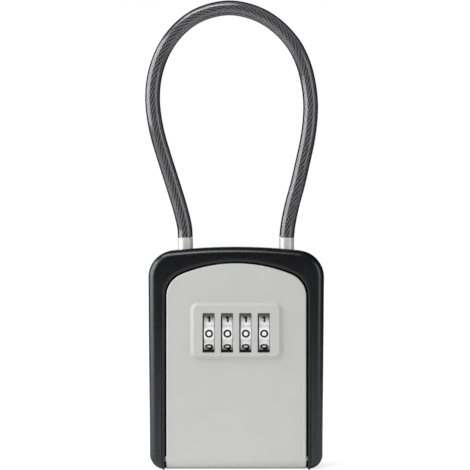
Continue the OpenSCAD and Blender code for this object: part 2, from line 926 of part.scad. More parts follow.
module dial(i) {
    color([0.93, 0.93, 0.92])
        translate([dial_x(i), axis_y, dial_z])
            difference() {
                rod_x(dial_r, -dial_w / 2, dial_w / 2);
                // Bore: a ring of drive notches, then clear space for the shifted lug
                rod_x(hub_r + slip, -dial_w / 2 - cut, dial_w / 2 + cut);
                rod_x(hub_r + lug_h + 0.3, -dial_w / 2 + 1, dial_w / 2 + cut);
                for (k = [0 : number_count - 1])
                    rotate([(k + 0.5) * number_step, 0, 0]) {
                        translate([-dial_w / 2 - cut, -dial_r - groove_out, 0])
                            rotate([0, 90, 0])
                                cylinder(r = groove_depth + groove_out, h = dial_w + 2 * cut, $fn = 24);
                    }
                for (k = [0 : number_count - 1])
                    rotate([k * number_step, 0, 0])
                        translate([-dial_w / 2 - cut, -lug_w / 2 - lug_gap, hub_r - 1])
                            cube([1 + 2 * cut, lug_w + 2 * lug_gap, 1 + lug_h + 2 * slip]);
            }
}

module dial_1() {
    dial(0);
}

module dial_2() {
    dial(1);
}

module dial_3() {
    dial(2);
}

module dial_4() {
    dial(3);
}

module tumbler(i) {
    disc_x0 = disc_x - tumbler_t / 2;
    color([0.72, 0.6, 0.35])
        translate([dial_x(i), axis_y, dial_z])
            difference() {
                union() {
                    rod_x(hub_r, hub_x0, hub_x0 + hub_t);
                    rod_x(neck_disc_r, hub_x0, disc_x0 + tumbler_t);
                    rod_x(tumbler_r, disc_x0, disc_x0 + tumbler_t);
                    rod_x(tail_r, disc_x0, hub_x0 + dial_pitch - slip);
                    translate([hub_x0, -lug_w / 2, hub_r - 1])
                        cube([lug_t, lug_w, 1 + lug_h]);
                }
                rod_x(shaft_d / 2 + run, -far, far);
                // The gate, and a quarter turn behind it the notch between two numbers
                for (turn = [0, -90])
                    rotate([turn, 0, 0])
                        translate([disc_x0 - 0.3, -gate_w / 2, gate_r])
                            cube([tumbler_t + 0.6, gate_w, tumbler_r]);
            }
}

module tumbler_1() {
    tumbler(0);
}

module tumbler_2() {
    tumbler(1);
}

module tumbler_3() {
    tumbler(2);
}

module tumbler_4() {
    tumbler(3);
}

outer_shell();
body_case();
shell_screws();
hinge_pin();
cable_lock_bar();
lock_bar_spring();
ferrule_left();
ferrule_right();
cable();
door_panel();
lock_frame();
lock_cover();
cover_screws();
detent_spring();
latch_slide();
latch_spring_left();
latch_spring_right();
release_button();
button_clip();
reset_lever();
dial_shaft();
shaft_clips();
shaft_spring();
dial_1();
dial_2();
dial_3();
dial_4();
tumbler_1();
tumbler_2();
tumbler_3();
tumbler_4();
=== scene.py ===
"""Builds the finished surfaces of a combination key safe with a cable loop round its fixed frame."""

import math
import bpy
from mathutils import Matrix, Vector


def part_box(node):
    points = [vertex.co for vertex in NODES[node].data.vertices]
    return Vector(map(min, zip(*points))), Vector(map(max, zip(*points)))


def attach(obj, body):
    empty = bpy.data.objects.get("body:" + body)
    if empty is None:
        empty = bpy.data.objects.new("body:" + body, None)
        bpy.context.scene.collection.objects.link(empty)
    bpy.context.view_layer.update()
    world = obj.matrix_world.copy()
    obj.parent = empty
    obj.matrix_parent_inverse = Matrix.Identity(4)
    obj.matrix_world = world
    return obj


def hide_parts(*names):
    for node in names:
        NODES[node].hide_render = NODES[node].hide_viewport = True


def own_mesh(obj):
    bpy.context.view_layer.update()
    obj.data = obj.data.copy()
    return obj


bl_info = {
    "name": "Combination Key Safe",
    "version": (1, 0, 0),
    "blender": (4, 5, 0),
    "location": "View3D > Sidebar > Key Safe",
    "description": "Key safe with number dials, a drop-down front and a loop of coated wire rope",
    "category": "Add Mesh",
}

import bmesh
import bpy
from bpy.props import FloatProperty, FloatVectorProperty, IntProperty, PointerProperty
from mathutils import Matrix, Vector

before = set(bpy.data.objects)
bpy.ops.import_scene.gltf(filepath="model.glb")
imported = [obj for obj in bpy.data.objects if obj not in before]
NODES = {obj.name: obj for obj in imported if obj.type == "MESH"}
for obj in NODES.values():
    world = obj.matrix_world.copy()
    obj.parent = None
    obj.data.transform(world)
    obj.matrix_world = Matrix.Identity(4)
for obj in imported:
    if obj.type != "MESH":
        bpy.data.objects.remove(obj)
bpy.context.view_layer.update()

MM = 0.001
NUMBER_STEP = math.radians(36)  # from one number of a dial to the next
WHITE = (1, 1, 1)

# Steps of the curves, and how far helping shapes reach
ARCH_STEPS, CORNER_STEPS, FOOT_STEPS, COIL_STEPS = 64, 16, 12, 24
CUT_MARGIN = 5 * MM  # past what a shape cuts through
HOLE_REACH = 14 * MM  # to both sides of a wall, for a hole's cutter
OVERLAP = 1 * MM  # into the shape that another one is joined to
NEAR = 1e-6  # metres that count as no distance
BEND_STEP = 0.4 * MM  # longest straight part of a stroke that is bent round a dial

SHELL_LOW, SHELL_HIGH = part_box("outer_shell")
FRONT_LOW, FRONT_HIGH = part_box("door_panel")
BUTTON_LOW, BUTTON_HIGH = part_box("release_button")
SCREWS_LOW, SCREWS_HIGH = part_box("cover_screws")
CABLE_LOW, CABLE_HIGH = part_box("cable")
FERRULES = ("ferrule_left", "ferrule_right")
DIAL_BOXES = [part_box(f"dial_{number}") for number in range(1, 5)]

# The middle line of the cable, as seen from the front: x and z in millimetres
CABLE_ROUTE = [
    (-27, 121), (-27.5, 127), (-29.5, 135.5), (-32.5, 145.5), (-36, 156.5),
    (-39, 166), (-41.5, 174.5), (-43.5, 184), (-44.5, 194), (-44, 203.5),
    (-42, 212.5), (-38, 222), (-31.5, 231), (-23, 238), (-13.5, 242),
    (-3.5, 243.5), (6.5, 242), (16, 238), (24.5, 231.5), (31.5, 223),
    (36, 213.5), (38.5, 204), (39.8, 193.5), (39.5, 183), (38, 172),
    (35.5, 160.5), (33, 149.5), (30, 138.5), (27.9, 128.5), (27, 121),
]

# Name, place, size and watts of each lamp, and whether it shows in reflections
LAMPS = (
    ("key", (-1.25, -0.27, 0.45), (1.5, 1.3), 20.0, True),
    ("top", (-0.3, -0.4, 1.05), (0.9, 0.35), 4.5, True),
    ("fill", (1.0, -0.75, 0.1), (0.65, 1.3), 3.8, True),
    ("front", (0.45, -1.2, 0.12), (0.9, 0.6), 3.85, False),
)


# Properties


def length(name, description, millimetres):
    return FloatProperty(name=name, description=description, default=millimetres * MM, unit="LENGTH",
                         precision=5)


def rotation(name, description, degrees):
    return FloatProperty(name=name, description=description, default=math.radians(degrees),
                         unit="ROTATION")


def count(name, description, default):
    return IntProperty(name=name, description=description, default=default, min=3)


def colour(name, description, default):
    return FloatVectorProperty(name=name, description=description, default=default, subtype="COLOR",
                               size=3, min=0, max=1)


class BodySizes(bpy.types.PropertyGroup):
    foot_width: length("Foot width", "Width of the body at its foot", 90.2)
    taper_height: length("Taper height", "Height up to which the sides lean outwards", 100)
    arch_radius: length("Arch radius", "Radius of the curve along the top", 310)
    corner_radius: length("Upper corners", "Radius of the upper corners", 14)
    foot_radius: length("Lower corners", "Radius of the lower corners", 7.5)
    edge_radius: length("Front edge", "Rounding of the outer front edge", 4.2)
    back_radius: length("Back edge", "Rounding of the outer back edge", 0.9)
    wall: length("Wall", "Wall of the outer shell", 2.5)
    face: length("Face", "Thickness of the face that frames the front", 3)
    lip: length("Lip", "Chamfer round the opening", 0.35)
    opening_gap: length("Opening gap", "From the edge of the front to the edge of the opening", 2.3)
    ferrule_gap: length("Ferrule gap", "Between a ferrule and its hole", 0.05)
    button_gap: length("Button gap", "Between the button and its hole", 0.12)


class FrontSizes(bpy.types.PropertyGroup):
    arch_radius: length("Arch radius", "Radius of the arched top", 75)
    top: length("Top", "Height of the front", 107.5)
    corner_radius: length("Corners", "Radius of the upper corners", 12.5)
    plate: length("Plate", "Thickness of the plate", 2.4)
    edge_radius: length("Edge", "Rounding of the outer edge", 0.85)
    rim: length("Rim", "Width of the rim behind the plate", 1.6)
    rim_depth: length("Rim depth", "Depth of the rim behind the plate", 2)
    barrel_radius: length("Foot radius", "Radius of the round foot", 5)
    barrel_edge: length("Foot ends", "Rounding of the ends of the round foot", 0.5)
    pin_radius: length("Pin hole", "Radius of the hole for the hinge pin", 1.55)
    pad_width: length("Pad width", "Width of the raised pad", 47.9)
    pad_height: length("Pad height", "Height of the raised pad", 29.5)
    pad_depth: length("Pad depth", "How far the raised pad stands out", 1.6)
    pad_corner: length("Pad corners", "Corner radius of the raised pad", 4)
    pad_slope: length("Pad slope", "Width of the sloped edge of the pad", 2.6)
    pad_edge: length("Pad edge", "Rounding between the pad's face and its slope", 0.9)
    pad_rise: length("Pad rise", "From the windows' middle up to the pad's", 1)
    window_z: length("Window height", "Height of the windows' middle", 71.4)
    window_width: length("Window width", "Width of a window", 6.3)
    window_length: length("Window length", "Height of a window", 20.5)
    window_lip: length("Window lip", "Chamfer round a window", 0.1)
    window_shift: length("Window shift", "How far a dial sits to the right of its window", 0.23)
    # Bars and sills: dark pieces in the top and foot of each window that paint the shade falling on the
    # dials there
    bar_radius: length("Bar radius", "Radius of the bar over a dial", 0.8)
    bar_depth: length("Bar depth", "How far the bars lie behind the pad's face", 2.7)
    bar_seat: length("Bar seat", "How far bars and sills reach into the front", 0.1)
    # The sills are black pieces that paint the shade at the foot of each window
    sill_height: length("Sill height", "Height of the sill under a dial", 1.4)
    sill_depth: length("Sill depth", "Thickness of the sill under a dial", 1)
    sill_edge: length("Sill edge", "Rounding of the sill", 0.2)
    boss_radius: length("Boss radius", "Radius of the bosses that carry the lock", 2.7)
    boss_height: length("Boss height", "Height of these bosses over the plate's back", 1.8)
    screw_head: length("Screw heads", "Diameter of the heads of the lock's screws", 5.2)
    screw_hole: length("Screw holes", "Diameter of the holes in the bosses", 2.9)
    screw_floor: length("Screw floor", "Metal in front of the holes in the bosses", 1)


class DialSizes(bpy.types.PropertyGroup):
    bore_radius: length("Bore", "Radius of the bore", 9.3)
    groove_depth: length("Groove depth", "Depth of the grooves between the numbers", 1.1)
    groove_width: length("Groove width", "Half the width of a groove", 0.95)
    edge_radius: length("Edge", "Rounding of the rims", 0.25)
    number_height: length("Number height", "Height of a number", 4.3)
    number_width: length("Number width", "Width of a zero", 4.25)
    stroke: length("Stroke", "Width of the numbers' strokes", 1)
    number_relief: length("Number relief", "How far the paint stands on the face", 0.05)


class CableSizes(bpy.types.PropertyGroup):
    diameter: length("Diameter", "Diameter over the plastic coat", 8)
    strand_count: count("Strands", "Number of outer strands", 11)
    strand_radius: length("Strand radius", "Radius of a strand", 0.58)
    rope_radius: length("Rope radius", "Radius of the ring of strands", 2.78)
    lay_length: length("Lay length", "Length of one turn of a strand", 40)


class SpringSizes(bpy.types.PropertyGroup):
    wire_radius: length("Wire radius", "Radius of the springs' wire", 0.25)
    latch_turns: count("Latch turns", "Turns of a spring of the latch", 7)
    shaft_turns: count("Shaft turns", "Turns of the spring of the shaft", 6)
    bar_turns: count("Bar turns", "Turns of the spring of the lock bar", 9)
    latch_travel: length("Latch travel", "How far the latch shortens its springs", 4)
    shaft_travel: length("Shaft travel", "How far the tumblers shorten their spring", 1)
    bar_travel: length("Bar travel", "How far the lock bar shortens its spring", 7)


class Finishes(bpy.types.PropertyGroup):
    body: colour("Body", "Satin black coating", (0.005, 0.005, 0.0065))
    case: colour("Case", "Black moulded plastic", (0.02, 0.02, 0.022))
    front: colour("Front", "Satin grey coating", (0.57, 0.575, 0.55))
    dial: colour("Dials", "White plastic", (0.95, 0.95, 0.945))
    number: colour("Numbers", "Black paint", (0.008, 0.008, 0.009))
    # The bars' dark grey paints shade along the top of each window
    bar: colour("Window bars", "Bars over the dials", (0.11, 0.11, 0.115))
    nickel: colour("Nickel", "Bright plating", (0.9, 0.89, 0.86))
    coat: colour("Cable coat", "Smoky plastic", (0.012, 0.012, 0.014))
    strand: colour("Strands", "Galvanised wire", (0.5, 0.5, 0.52))
    lever: colour("Lever", "Orange plastic", (0.75, 0.16, 0.03))
    lock: colour("Lock", "Black plastic of the lock's frame", (0.05, 0.05, 0.055))
    wire: colour("Spring wire", "Spring steel", (0.45, 0.45, 0.47))
    zinc: colour("Zinc", "Zinc-plated steel", (0.6, 0.61, 0.62))
    steel: colour("Steel", "Bright drawn steel", (0.66, 0.66, 0.66))
    brass: colour("Brass", "Turned brass", (0.34, 0.25, 0.12))


class StageSettings(bpy.types.PropertyGroup):
    distance: length("Distance", "Distance of the camera from the front", 1100)
    view_width: length("View width", "Width of the view in the plane of the front", 244.2)
    aim_x: length("Aim across", "Where the camera looks, from left to right", -0.7)
    aim_z: length("Aim height", "Height at which the camera looks", 122.3)
    azimuth: rotation("Azimuth", "Turn of the camera round the object", -0.3)
    elevation: rotation("Elevation", "Height angle of the camera", 0.1)


# Shape helpers


def arc(bm, start, centre, angle, steps):
    """Spins one vertex counter-clockwise, as seen from the front, and returns the new ones."""
    before = len(bm.verts)
    bmesh.ops.spin(bm, geom=[start], cent=centre, axis=(0, -1, 0), angle=angle, steps=steps)
    bm.verts.ensure_lookup_table()
    return list(bm.verts)[before:]


def pull(bm, face, way):
    """Pulls a face along a vector into a closed block."""
    pulled = bmesh.ops.extrude_face_region(bm, geom=[face])["geom"]
    verts = [v for v in pulled if isinstance(v, bmesh.types.BMVert)]
    bmesh.ops.translate(bm, vec=way, verts=verts)
    bmesh.ops.recalc_face_normals(bm, faces=list(bm.faces))


def arched_block(y, depth, arch, grow, foot, foot_radius=0.0):
    """Block from the plane y to the back: straight sides and round corners under a wide arch.

    The arch is half its width, its top, its radius and its corners' radius, each grown by the same.
    """
    half_width, top, arch_radius, corner_radius = (size + grow for size in arch)
    bm = bmesh.new()
    arch_centre = Vector((0, y, top - arch_radius))
    reach = half_width - corner_radius
    rise = math.sqrt((arch_radius - corner_radius) ** 2 - reach**2)
    shoulder = math.atan2(rise, reach)
    right = Vector((reach, y, arch_centre.z + rise))
    left = Vector((-reach, y, right.z))

    def foot_corner(side, away):
        if not foot_radius:
            return [bm.verts.new((side * half_width, y, foot))]
        corner = Vector((side * (half_width - foot_radius), y, foot + foot_radius))
        start = bm.verts.new(corner - foot_radius * Vector(away))
        return [start] + arc(bm, start, corner, math.pi / 2, FOOT_STEPS)

    loop = foot_corner(1, (0, 0, 1))
    start = bm.verts.new((half_width, y, right.z))
    loop += [start] + arc(bm, start, right, shoulder, CORNER_STEPS)
    loop += arc(bm, loop[-1], arch_centre, math.pi - 2 * shoulder, ARCH_STEPS)
    loop += arc(bm, loop[-1], left, shoulder, CORNER_STEPS)
    loop += foot_corner(-1, (1, 0, 0))
    pull(bm, bm.faces.new(loop), (0, depth, 0))
    return bm


def rim_edges(bm, y):
    """Edges that lie in the plane y between two faces that meet sharply."""
    return [
        e for e in bm.edges
        if all(abs(v.co.y - y) < NEAR for v in e.verts) and e.calc_face_angle(0) > math.radians(40)
    ]


def level_edges(bm, *axes):
    """Edges whose two ends have the same place along each axis, 0 to 2."""
    return [
        e for e in bm.edges
        if all(abs(e.verts[0].co[axis] - e.verts[1].co[axis]) < NEAR for axis in axes)
    ]


def round_edges(bm, edges, radius, segments):
    bmesh.ops.bevel(bm, geom=edges, offset=radius, offset_type="OFFSET", segments=segments,
                    profile=0.5, affect="EDGES", clamp_overlap=False, material=-1)


def slab(bm, low, high):
    """Box between two corners."""
    low, high = Vector(low), Vector(high)
    made = bmesh.ops.create_cube(bm, size=1)["verts"]
    bmesh.ops.scale(bm, vec=high - low, verts=made)
    bmesh.ops.translate(bm, vec=(low + high) / 2, verts=made)
    return made


def rod(bm, radius, middle, half, segments):
    """Cylinder round a middle; half is the way from there to its end."""
    half = Vector(half)
    turn = half.to_track_quat("Z", "Y").to_matrix().to_4x4()
    bmesh.ops.create_cone(bm, cap_ends=True, segments=segments, radius1=radius, radius2=radius,
                          depth=2 * half.length, matrix=Matrix.Translation(middle) @ turn)
    return bm


def add_object(name, data):
    """Puts an object into the scene."""
    made = bpy.data.objects.new(name, data)
    bpy.context.scene.collection.objects.link(made)
    return made


def mesh_object(name, bm):
    mesh = bpy.data.meshes.new(name)
    bm.to_mesh(mesh)
    bm.free()
    return add_object(name, mesh)


def combine(target, bm, operation):
    """Cuts a shape out of the target object, or joins it on."""
    other = mesh_object("tool", bm)
    modifier = target.modifiers.new("combine", "BOOLEAN")
    modifier.operation = operation
    modifier.solver = "EXACT"
    modifier.object = other
    scene_state = bpy.context.evaluated_depsgraph_get()
    result = bpy.data.meshes.new_from_object(target.evaluated_get(scene_state))
    target.modifiers.clear()
    old = target.data
    target.data = result
    bpy.data.meshes.remove(old)
    bpy.data.objects.remove(other)
    result.name = target.name


def smooth(made, angle=math.radians(32)):
    """Smooth faces with sharp edges where two faces meet at more than the angle."""
    bm = bmesh.new()
    bm.from_mesh(made.data)
    bmesh.ops.dissolve_degenerate(bm, dist=NEAR / 10, edges=list(bm.edges))
    for face in bm.faces:
        face.smooth = True
    for edge in bm.edges:
        edge.smooth = len(edge.link_faces) == 2 and edge.calc_face_angle(0) < angle
    bm.to_mesh(made.data)
    bm.free()
    return made


def tube_curve(name, points, radius, resolution):
    curve = bpy.data.curves.new(name, "CURVE")
    curve.dimensions = "3D"
    curve.bevel_depth = radius
    curve.bevel_resolution = resolution
    curve.use_fill_caps = True
    spline = curve.splines.new("POLY")
    spline.points.add(len(points) - 1)
    for point, here in zip(spline.points, points):
        point.co = (*here, 1)
    return add_object(name, curve)


def as_mesh(made):
    """Turns a curve object into a mesh object of the same name."""
    state = bpy.context.evaluated_depsgraph_get()
    mesh = bpy.data.meshes.new_from_object(made.evaluated_get(state))
    name = made.name
    bpy.data.objects.remove(made)
    mesh.name = name
    return add_object(name, mesh)


def smooth_route(points, steps):
    """Points on a smooth curve through the given ones."""
    way = [2 * points[0] - points[1], *points, 2 * points[-1] - points[-2]]
    result = []
    for a, b, c, d in zip(way, way[1:], way[2:], way[3:]):
        for i in range(steps):
            t = i / steps
            square, cube = 2 * a - 5 * b + 4 * c - d, 3 * b - 3 * c + d - a
            result.append((2 * b + (c - a) * t + square * t**2 + cube * t**3) / 2)
    return result + [points[-1]]


def fine(points, step):
    """Adds points between those that lie more than a step apart."""
    result = [points[0]]
    for a, b in zip(points, points[1:]):
        parts = max(math.ceil((b - a).length / step), 1)
        result += [a.lerp(b, i / parts) for i in range(1, parts + 1)]
    return result


def dress(piece, material):
    piece.data.materials.clear()
    piece.data.materials.append(material)


def place(piece, material, body, slot, *nodes):
    """Gives a piece its material and its body, and hides the nodes that it stands in for."""
    dress(piece, material)
    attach(piece, body)
    if nodes:
        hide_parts(*nodes)


# Material helpers


def math_node(tree, operation, *values):
    """Works on numbers or sockets, and returns the result's socket."""
    node = tree.nodes.new("ShaderNodeMath")
    node.operation = operation
    for socket, value in zip(node.inputs, values):
        if isinstance(value, (int, float)):
            socket.default_value = value
        else:
            tree.links.new(value, socket)
    return node.outputs[0]


def range_node(tree, value, low, high, from_low, from_high, interpolation="LINEAR"):
    """Maps one range of values on another, and returns the result's socket."""
    node = tree.nodes.new("ShaderNodeMapRange")
    node.interpolation_type = interpolation
    keys = ("From Min", "From Max", "To Min", "To Max")
    for key, number in zip(keys, (from_low, from_high, low, high)):
        node.inputs[key].default_value = number
    tree.links.new(value, node.inputs["Value"])
    return node.outputs["Result"]


class Finish:
    """A procedural material that starts from the principled shader and the object's coordinates."""

    def __init__(self, name, base, roughness, metallic=0.0, tint=WHITE):
        self.material = bpy.data.materials.new(name)
        self.material.use_nodes = True
        self.tree = self.material.node_tree
        self.nodes = self.tree.nodes
        self.links = self.tree.links
        self.inputs = self.nodes["Principled BSDF"].inputs
        self.base = tuple(base)
        self.inputs["Base Color"].default_value = (*self.base, 1)
        self.inputs["Roughness"].default_value = roughness
        self.inputs["Metallic"].default_value = metallic
        self.inputs["Specular Tint"].default_value = (*tint, 1)
        self.coordinates = self.nodes.new("ShaderNodeTexCoord").outputs["Object"]
        self.bump = None

    def stretched(self, scale):
        node = self.nodes.new("ShaderNodeMapping")
        node.inputs["Scale"].default_value = scale
        self.links.new(self.coordinates, node.inputs["Vector"])
        return node.outputs["Vector"]

    def noise(self, size, detail, vector=None):
        """Soft noise whose features are about size metres wide."""
        node = self.nodes.new("ShaderNodeTexNoise")
        node.inputs["Scale"].default_value = 1 / size
        node.inputs["Detail"].default_value = detail
        node.inputs["Roughness"].default_value = 0.55
        self.links.new(vector or self.coordinates, node.inputs["Vector"])
        return node.outputs["Fac"]

    def range(self, value, low, high, from_low=0.3, from_high=0.7):
        return range_node(self.tree, value, low, high, from_low, from_high)

    def vary_colour(self, value, dark, light):
        """Lets the base colour run between two brightnesses."""
        node = self.nodes.new("ShaderNodeMix")
        node.data_type = "RGBA"
        node.inputs["A"].default_value = (*[c * dark for c in self.base], 1)
        node.inputs["B"].default_value = (*[min(c * light, 1) for c in self.base], 1)
        self.links.new(value, node.inputs["Factor"])
        self.links.new(node.outputs["Result"], self.inputs["Base Color"])

    def vary_roughness(self, value, low, high):
        self.links.new(self.range(value, low, high), self.inputs["Roughness"])

    def raise_by(self, value, height, strength):
        """Adds a bump of the given height in metres."""
        node = self.nodes.new("ShaderNodeBump")
        node.inputs["Distance"].default_value = height
        node.inputs["Strength"].default_value = strength
        self.links.new(value, node.inputs["Height"])
        if self.bump:
            self.links.new(self.bump, node.inputs["Normal"])
        self.bump = node.outputs["Normal"]
        self.links.new(self.bump, self.inputs["Normal"])

    def texture(self, shades, roughness, *bumps):
        """Noises that vary the finish: the size and detail of each, and its two values."""
        for vary, (size, detail, *values) in (
            (self.vary_colour, shades),
            (self.vary_roughness, roughness),
            *((self.raise_by, bump) for bump in bumps),
        ):
            vary(self.noise(size, detail), *values)
        return self.material


def coated_metal(name, base, roughness, specular=0.5, tint=WHITE):
    """Baked satin coating with a faint orange peel."""
    finish = Finish(name, base, roughness, tint=tint)
    finish.inputs["Specular IOR Level"].default_value = specular
    return finish.texture(
        (14 * MM, 2, 0.97, 1.03),
        (5 * MM, 4, roughness - 0.02, roughness + 0.03),
        (0.5 * MM, 2, 0.005 * MM, 0.3),
        (2.6 * MM, 1, 0.014 * MM, 0.18),
    )


def moulded_plastic(name, base, roughness):
    """Plastic with a fine spark-eroded grain."""
    return Finish(name, base, roughness).texture(
        (9 * MM, 3, 0.9, 1.12),
        (1.5 * MM, 3, roughness - 0.08, roughness + 0.08),
        (0.3 * MM, 3, 0.03 * MM, 0.5),
    )


def polished_metal(name, base, roughness, metallic, streak, depth, tint=WHITE):
    """Plated metal with fine streaks; streak gives the scale along each axis."""
    finish = Finish(name, base, roughness, metallic, tint)
    lines = finish.noise(1, 3, finish.stretched(streak))
    finish.vary_colour(finish.noise(3 * MM, 2), 0.94, 1.04)
    finish.vary_roughness(lines, max(roughness - 0.05, 0.03), roughness + 0.09)
    finish.raise_by(lines, depth, 0.6)
    return finish.material


# The numbers' strokes, on a square from -0.5 to 0.5


def bow(x, y, wide, tall, start, end, steps=24):
    """Points on a part of an ellipse, between two angles in degrees."""
    turns = [math.radians(start + (end - start) * i / steps) for i in range(steps + 1)]
    return [(x + wide * math.cos(a), y + tall * math.sin(a)) for a in turns]


NUMBERS = (
    [bow(0, 0, 0.5, 0.5, 90, 450, 40)],
    [[(-0.3, 0.32), (0.06, 0.5), (0.06, -0.5)]],
    [bow(0, 0.22, 0.46, 0.28, 165, -40) + [(-0.46, -0.5), (0.5, -0.5)]],
    [bow(-0.05, 0.25, 0.45, 0.25, 150, -90), bow(-0.05, -0.25, 0.52, 0.25, 90, -150)],
    [[(0.22, -0.5), (0.22, 0.5), (-0.5, -0.2), (0.5, -0.2)]],
    [[(0.42, 0.5), (-0.36, 0.5), (-0.42, 0.06)] + bow(0, -0.18, 0.5, 0.32, 128, -150)],
    [bow(0, -0.18, 0.5, 0.32, 90, 450, 36), bow(0.12, -0.18, 0.62, 0.68, 180, 78)],
    [[(-0.5, 0.5), (0.48, 0.5), (-0.12, -0.5)]],
    [bow(0, 0.27, 0.4, 0.23, 90, 450, 36), bow(0, -0.23, 0.5, 0.27, 90, 450, 36)],
    [bow(0, 0.18, 0.5, 0.32, 90, 450, 36), bow(-0.12, 0.18, 0.62, 0.68, 0, -102)],
)


# Pieces


class KEYSAFE_OT_stage(bpy.types.Operator):
    """Camera at the photographed angle, a pale floor and soft lamps"""

    bl_idname = "keysafe.stage"
    bl_label = "Stage"

    def execute(self, context):
        settings = context.scene.key_safe_stage
        aim = Vector((settings.aim_x, FRONT_LOW.y, settings.aim_z))
        self.camera(context, settings, aim)
        for name, location, size, watts, reflected in LAMPS:
            lamp = add_object(name, bpy.data.lights.new(name, "AREA"))
            lamp.data.shape = "RECTANGLE"
            lamp.data.size, lamp.data.size_y = size
            lamp.data.energy = watts
            lamp.visible_glossy = reflected
            self.point_at(lamp, Vector(location), aim)
        self.floor()
        self.surroundings(context)
        context.scene.view_settings.view_transform = "Standard"
        return {"FINISHED"}

    def point_at(self, made, location, aim):
        made.location = location
        made.rotation_euler = (aim - location).to_track_quat("-Z", "Y").to_euler()

    def camera(self, context, settings, aim):
        turn, lift = settings.azimuth, settings.elevation
        back = Vector((
            math.sin(turn) * math.cos(lift), -math.cos(turn) * math.cos(lift), math.sin(lift)
        ))
        camera = add_object("camera", bpy.data.cameras.new("camera"))
        camera.data.lens = camera.data.sensor_width * settings.distance / settings.view_width
        self.point_at(camera, aim + back * settings.distance, aim)
        context.scene.camera = camera

    def floor(self):
        """Pale floor that the camera sees as white, apart from the object's shadow."""
        bm = bmesh.new()
        bmesh.ops.create_grid(bm, x_segments=1, y_segments=1, size=4)
        floor = mesh_object("floor", bm)
        near, far = 0.4, 0.8  # metres from the middle, between which the floor fades
        finish = Finish("floor_white", (0.9, 0.9, 0.9), 0.7)
        distance = finish.nodes.new("ShaderNodeVectorMath")
        distance.operation = "LENGTH"
        finish.links.new(finish.coordinates, distance.inputs[0])
        away = distance.outputs["Value"]
        finish.vary_colour(finish.range(away, 0, 1, near, far), 1.0, 0.1)
        glow = finish.range(away, 0.68, 1.0, near, far)
        rays = finish.nodes.new("ShaderNodeLightPath").outputs
        seen = math_node(finish.tree, "MULTIPLY", rays["Is Camera Ray"], glow)
        finish.inputs["Emission Color"].default_value = (*WHITE, 1)
        finish.links.new(seen, finish.inputs["Emission Strength"])
        dress(floor, finish.material)

    def surroundings(self, context):
        """White backdrop, in a studio that is dark on the camera's side."""
        fade_start, fade_end = 0.93, 0.985  # how far backwards a ray points, from -1 to 1
        dark_side, soft_light = 0.03, 0.26
        world = bpy.data.worlds.new("studio")
        context.scene.world = world
        world.use_nodes = True
        tree = world.node_tree
        rays = tree.nodes.new("ShaderNodeLightPath").outputs
        parts = tree.nodes.new("ShaderNodeSeparateXYZ")
        tree.links.new(tree.nodes.new("ShaderNodeTexCoord").outputs["Generated"], parts.inputs[0])
        wall = range_node(tree, parts.outputs["Y"], dark_side, 1, fade_start, fade_end, "SMOOTHSTEP")
        seen = math_node(tree, "MAXIMUM", rays["Is Camera Ray"], rays["Is Transmission Ray"])
        shone = math_node(tree, "MULTIPLY", rays["Is Glossy Ray"], wall)
        soft = math_node(tree, "MULTIPLY", rays["Is Diffuse Ray"], soft_light)
        strength = math_node(tree, "MAXIMUM", seen, math_node(tree, "MAXIMUM", shone, soft))
        background = tree.nodes["Background"].inputs
        tree.links.new(strength, background["Strength"])
        background["Color"].default_value = (*WHITE, 1)


